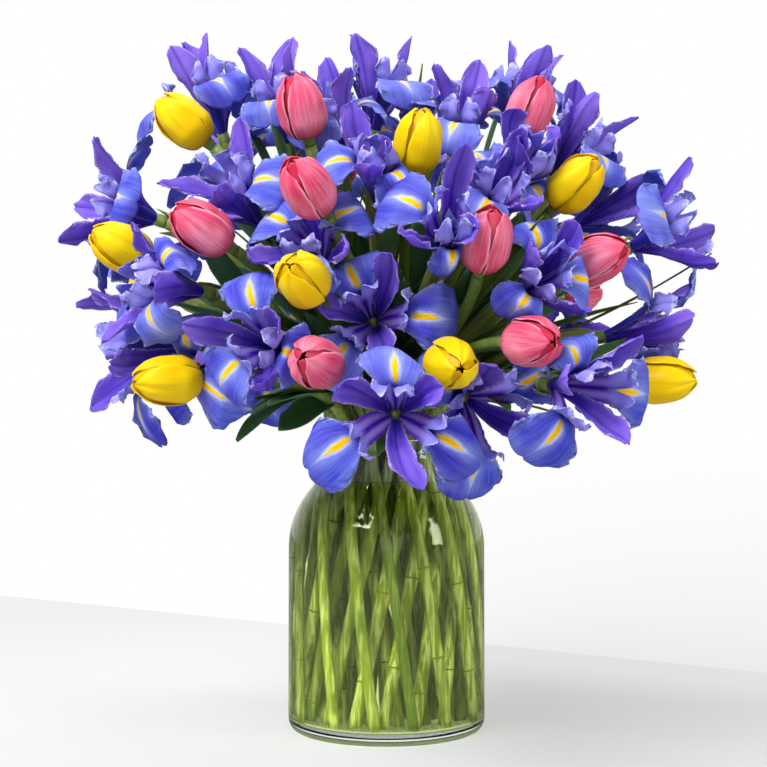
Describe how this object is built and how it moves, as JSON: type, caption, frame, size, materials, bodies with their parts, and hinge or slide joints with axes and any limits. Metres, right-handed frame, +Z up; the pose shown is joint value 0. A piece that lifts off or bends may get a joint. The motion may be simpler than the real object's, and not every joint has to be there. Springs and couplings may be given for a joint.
{
  "type": "vase of irises and tulips",
  "caption": "Full round bunch of blue-violet irises with yellow and pink tulips, stems standing in water in a clear glass jar with a narrowed neck and rolled rim",
  "frame": {"origin": "the middle of the jar's foot, on the surface it stands on", "axes": "+Z up along the jar's axis; the side seen first in the picture faces -Y, and +X is to its right"},
  "size_m": [0.4773, 0.4621, 0.5126],
  "materials": {
    "glass": "gloss",
    "water": "gloss",
    "green": "satin",
    "iris_petal": "matte",
    "yellow_petal": "satin",
    "pink_petal": "satin"
  },
  "bodies": {
    "root": {"iris_01": "iris_petal", "iris_02": "iris_petal", "iris_03": "iris_petal", "iris_04": "iris_petal", "iris_05": "iris_petal", "iris_06": "iris_petal", "iris_07": "iris_petal", "iris_08": "iris_petal", "iris_09": "iris_petal", "iris_10": "iris_petal", "iris_11": "iris_petal", "iris_12": "iris_petal", "iris_13": "iris_petal", "iris_14": "iris_petal", "iris_15": "iris_petal", "iris_16": "iris_petal", "iris_17": "iris_petal", "iris_18": "iris_petal", "iris_19": "iris_petal", "iris_20": "iris_petal", "iris_21": "iris_petal", "iris_22": "iris_petal", "iris_23": "iris_petal", "iris_24": "iris_petal", "iris_25": "iris_petal", "iris_26": "iris_petal", "iris_27": "iris_petal", "iris_28": "iris_petal", "iris_29": "iris_petal", "iris_30": "iris_petal", "iris_31": "iris_petal", "iris_32": "iris_petal", "iris_33": "iris_petal", "iris_34": "iris_petal", "iris_35": "iris_petal", "jar": "glass", "stems_and_leaves": "green", "tulip_pink_01": "pink_petal", "tulip_pink_02": "pink_petal", "tulip_pink_03": "pink_petal", "tulip_pink_04": "pink_petal", "tulip_pink_05": "pink_petal", "tulip_pink_06": "pink_petal", "tulip_pink_07": "pink_petal", "tulip_pink_08": "pink_petal", "tulip_pink_09": "pink_petal", "tulip_pink_10": "pink_petal", "tulip_pink_11": "pink_petal", "tulip_yellow_01": "yellow_petal", "tulip_yellow_02": "yellow_petal", "tulip_yellow_03": "yellow_petal", "tulip_yellow_04": "yellow_petal", "tulip_yellow_05": "yellow_petal", "tulip_yellow_06": "yellow_petal", "tulip_yellow_07": "yellow_petal", "tulip_yellow_08": "yellow_petal", "tulip_yellow_09": "yellow_petal", "tulip_yellow_10": "yellow_petal", "water": "water"}
  },
  "joints": []
}
